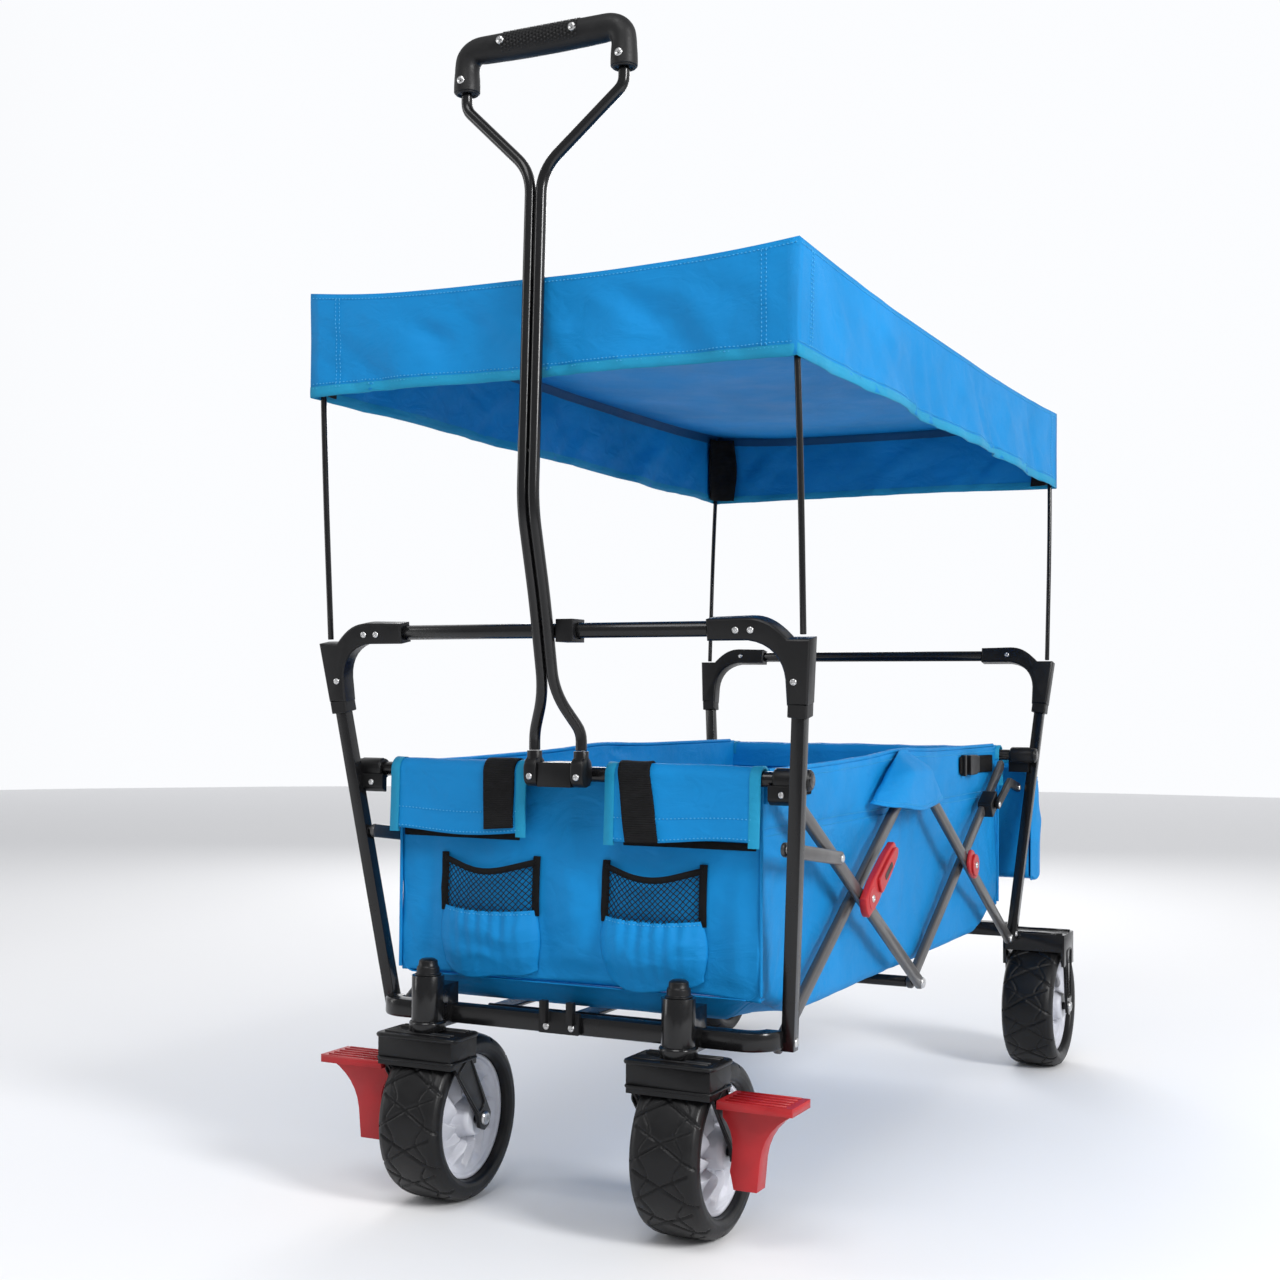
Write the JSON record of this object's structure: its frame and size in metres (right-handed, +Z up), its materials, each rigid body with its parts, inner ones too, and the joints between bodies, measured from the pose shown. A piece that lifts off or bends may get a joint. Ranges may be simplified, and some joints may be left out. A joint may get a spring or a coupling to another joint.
{
  "type": "folding beach cart",
  "caption": "Folding fabric beach cart with canopy, pull handle, braked swivel casters in front, fixed wheels behind and a scissor frame.",
  "frame": {"origin": "on the ground under the middle of the whole cart", "axes": "+Z up, +X to the right seen from the handle end, -Y towards the pull handle, +Y towards the fixed wheels"},
  "size_m": [0.634, 1.1943, 1.252],
  "materials": {
    "frame_black": "gloss black powder coat",
    "scissor_grey": "grey-brown satin paint",
    "plastic_black": "moulded black plastic, fine texture",
    "plastic_red": "moulded red plastic",
    "tyre": "foamed black tread",
    "rim": "light grey moulded rim",
    "fabric_blue": "azure coated polyester",
    "mesh_black": "black mesh, webbing and elastic",
    "grip": "textured dark grip",
    "steel": "zinc-plated screws and rivets"
  },
  "bodies": {
    "centre": {"centre_tube": "frame_black", "tub_sides": "fabric_blue", "canopy": "fabric_blue"},
    "scissor_front_down_right": {"scissor_front_down_right": "scissor_grey"},
    "scissor_front_up_right": {"scissor_front_up_right": "scissor_grey"},
    "scissor_rear_up_right": {"scissor_rear_up_right": "scissor_grey"},
    "scissor_rear_down_right": {"scissor_rear_down_right": "scissor_grey"},
    "lock_lever_right": {"lock_lever_right": "plastic_red"},
    "front_link_right": {"front_link_right": "scissor_grey"},
    "rear_link_right": {"rear_link_right": "plastic_black"},
    "caster_right": {"caster_fork_right": "plastic_black"},
    "brake_pedal_right": {"brake_pedal_right": "plastic_red"},
    "wheel_front_right": {"tyre_front_right": "tyre", "rim_front_right": "rim"},
    "wheel_rear_right": {"tyre_rear_right": "tyre", "rim_rear_right": "rim"},
    "scissor_front_down_left": {"scissor_front_down_left": "scissor_grey"},
    "scissor_front_up_left": {"scissor_front_up_left": "scissor_grey"},
    "scissor_rear_up_left": {"scissor_rear_up_left": "scissor_grey"},
    "scissor_rear_down_left": {"scissor_rear_down_left": "scissor_grey"},
    "lock_lever_left": {"lock_lever_left": "plastic_red"},
    "front_link_left": {"front_link_left": "scissor_grey"},
    "rear_link_left": {"rear_link_left": "plastic_black"},
    "caster_left": {"caster_fork_left": "plastic_black"},
    "brake_pedal_left": {"brake_pedal_left": "plastic_red"},
    "wheel_front_left": {"tyre_front_left": "tyre", "rim_front_left": "rim"},
    "wheel_rear_left": {"tyre_rear_left": "tyre", "rim_rear_left": "rim"},
    "front_frame": {"base_front": "frame_black", "push_bar_front": "frame_black", "rim_tube_front": "frame_black", "tub_front": "fabric_blue", "handle_mount": "plastic_black", "handle_clip": "plastic_black", "storage_clip": "plastic_black", "post_front_right": "frame_black", "post_front_left": "frame_black", "corner_bracket_front_right": "plastic_black", "corner_bracket_front_left": "plastic_black", "canopy_pole_front_right": "frame_black", "canopy_pole_front_left": "frame_black"},
    "rear_frame": {"base_rear": "frame_black", "push_bar_rear": "frame_black", "rim_tube_rear": "frame_black", "tub_rear": "fabric_blue", "rear_bag": "fabric_blue", "post_rear_right": "frame_black", "post_rear_left": "frame_black", "corner_bracket_rear_right": "plastic_black", "corner_bracket_rear_left": "plastic_black", "canopy_pole_rear_right": "frame_black", "canopy_pole_rear_left": "frame_black"},
    "floor_front": {"floor_bars_front": "frame_black"},
    "floor_rear": {"floor_bars_rear": "frame_black"},
    "handle": {"handle_tube_right": "frame_black", "handle_tube_left": "frame_black", "handle_yoke": "plastic_black", "handle_grip": "grip"}
  },
  "joints": [
    {"name": "fold", "type": "hinge", "parent": "centre", "child": "scissor_front_down_right", "pos_m": [0.2395, -0.0108, 0.194], "axis": [-1, 0, 0], "range_deg": [0, 45], "deforming": ["tub_sides", "canopy"]},
    {"name": "rear_up_right_swing", "type": "hinge", "parent": "centre", "child": "scissor_rear_up_right", "pos_m": [0.228, -0.0108, 0.194], "axis": [1, 0, 0], "range_deg": [0, 45.5]},
    {"name": "front_cross_right", "type": "hinge", "parent": "scissor_front_down_right", "child": "scissor_front_up_right", "pos_m": [0.23375, -0.2383, 0.3225], "axis": [1, 0, 0], "range_deg": [0, 90.5]},
    {"name": "rear_cross_right", "type": "hinge", "parent": "scissor_rear_up_right", "child": "scissor_rear_down_right", "pos_m": [0.23375, 0.2167, 0.3225], "axis": [-1, 0, 0], "range_deg": [0, 90.5]},
    {"name": "front_link_right_swing", "type": "hinge", "parent": "front_frame", "child": "front_link_right", "pos_m": [0.2475, -0.4988, 0.397], "axis": [1, 0, 0], "range_deg": [0, 71.3]},
    {"name": "rear_link_right_swing", "type": "hinge", "parent": "rear_frame", "child": "rear_link_right", "pos_m": [0.2475, 0.4732, 0.418], "axis": [-1, 0, 0], "range_deg": [0, 58.2]},
    {"name": "front_down_left_swing", "type": "hinge", "parent": "centre", "child": "scissor_front_down_left", "pos_m": [-0.2395, -0.0108, 0.194], "axis": [-1, 0, 0], "range_deg": [0, 45.5]},
    {"name": "rear_up_left_swing", "type": "hinge", "parent": "centre", "child": "scissor_rear_up_left", "pos_m": [-0.228, -0.0108, 0.194], "axis": [1, 0, 0], "range_deg": [0, 45.5]},
    {"name": "front_cross_left", "type": "hinge", "parent": "scissor_front_down_left", "child": "scissor_front_up_left", "pos_m": [-0.23375, -0.2383, 0.3225], "axis": [1, 0, 0], "range_deg": [0, 90.5]},
    {"name": "rear_cross_left", "type": "hinge", "parent": "scissor_rear_up_left", "child": "scissor_rear_down_left", "pos_m": [-0.23375, 0.2167, 0.3225], "axis": [-1, 0, 0], "range_deg": [0, 90.5]},
    {"name": "front_link_left_swing", "type": "hinge", "parent": "front_frame", "child": "front_link_left", "pos_m": [-0.2475, -0.4988, 0.397], "axis": [1, 0, 0], "range_deg": [0, 71.3]},
    {"name": "rear_link_left_swing", "type": "hinge", "parent": "rear_frame", "child": "rear_link_left", "pos_m": [-0.2475, 0.4732, 0.418], "axis": [-1, 0, 0], "range_deg": [0, 58.2]},
    {"name": "front_frame_swing", "type": "hinge", "parent": "scissor_front_up_right", "child": "front_frame", "pos_m": [0.228, -0.4658, 0.194], "axis": [-1, 0, 0], "range_deg": [0, 45.5]},
    {"name": "rear_frame_swing", "type": "hinge", "parent": "scissor_rear_down_right", "child": "rear_frame", "pos_m": [0.2395, 0.4442, 0.194], "axis": [1, 0, 0], "range_deg": [0, 45.5]},
    {"name": "floor_front_swing", "type": "hinge", "parent": "front_frame", "child": "floor_front", "pos_m": [0, -0.4628, 0.205], "axis": [1, 0, 0], "range_deg": [0, 72.5]},
    {"name": "floor_rear_swing", "type": "hinge", "parent": "rear_frame", "child": "floor_rear", "pos_m": [0, 0.4412, 0.205], "axis": [-1, 0, 0], "range_deg": [0, 72.5]},
    {"name": "handle_swing", "type": "hinge", "parent": "front_frame", "child": "handle", "pos_m": [0, -0.5228, 0.466], "axis": [1, 0, 0], "range_deg": [0, 105]},
    {"name": "lock_lever_right_turn", "type": "hinge", "parent": "scissor_front_up_right", "child": "lock_lever_right", "pos_m": [0.2495, -0.2383, 0.3225], "axis": [-1, 0, 0], "range_deg": [0, 40]},
    {"name": "caster_right_swivel", "type": "hinge", "parent": "front_frame", "child": "caster_right", "pos_m": [0.149, -0.5378, 0.24], "axis": [0, 0, 1], "continuous": true},
    {"name": "wheel_front_right_spin", "type": "hinge", "parent": "caster_right", "child": "wheel_front_right", "pos_m": [0.149, -0.4928, 0.09], "axis": [1, 0, 0], "continuous": true},
    {"name": "wheel_rear_right_spin", "type": "hinge", "parent": "rear_frame", "child": "wheel_rear_right", "pos_m": [0.271, 0.5072, 0.09], "axis": [1, 0, 0], "continuous": true},
    {"name": "brake_right_press", "type": "hinge", "parent": "caster_right", "child": "brake_pedal_right", "pos_m": [0.201, -0.5248, 0.142], "axis": [0, 1, 0], "range_deg": [0, 12]},
    {"name": "lock_lever_left_turn", "type": "hinge", "parent": "scissor_front_up_left", "child": "lock_lever_left", "pos_m": [-0.2495, -0.2383, 0.3225], "axis": [-1, 0, 0], "range_deg": [0, 40]},
    {"name": "caster_left_swivel", "type": "hinge", "parent": "front_frame", "child": "caster_left", "pos_m": [-0.149, -0.5378, 0.24], "axis": [0, 0, 1], "continuous": true},
    {"name": "wheel_front_left_spin", "type": "hinge", "parent": "caster_left", "child": "wheel_front_left", "pos_m": [-0.149, -0.4928, 0.09], "axis": [1, 0, 0], "continuous": true},
    {"name": "wheel_rear_left_spin", "type": "hinge", "parent": "rear_frame", "child": "wheel_rear_left", "pos_m": [-0.271, 0.5072, 0.09], "axis": [1, 0, 0], "continuous": true},
    {"name": "brake_left_press", "type": "hinge", "parent": "caster_left", "child": "brake_pedal_left", "pos_m": [-0.201, -0.5248, 0.142], "axis": [0, -1, 0], "range_deg": [0, 12]}
  ],
  "couplings": [
    {"joint": "rear_up_right_swing", "follows": "fold", "ratio": 1},
    {"joint": "front_cross_right", "follows": "fold", "ratio": 2},
    {"joint": "rear_cross_right", "follows": "fold", "ratio": 2},
    {"joint": "front_link_right_swing", "follows": "fold", "ratio": 1.573},
    {"joint": "rear_link_right_swing", "follows": "fold", "ratio": 1.282},
    {"joint": "front_down_left_swing", "follows": "fold", "ratio": 1},
    {"joint": "rear_up_left_swing", "follows": "fold", "ratio": 1},
    {"joint": "front_cross_left", "follows": "fold", "ratio": 2},
    {"joint": "rear_cross_left", "follows": "fold", "ratio": 2},
    {"joint": "front_link_left_swing", "follows": "fold", "ratio": 1.573},
    {"joint": "rear_link_left_swing", "follows": "fold", "ratio": 1.282},
    {"joint": "front_frame_swing", "follows": "fold", "ratio": 1},
    {"joint": "rear_frame_swing", "follows": "fold", "ratio": 1},
    {"joint": "floor_front_swing", "follows": "fold", "ratio": 1.6},
    {"joint": "floor_rear_swing", "follows": "fold", "ratio": 1.6}
  ]
}
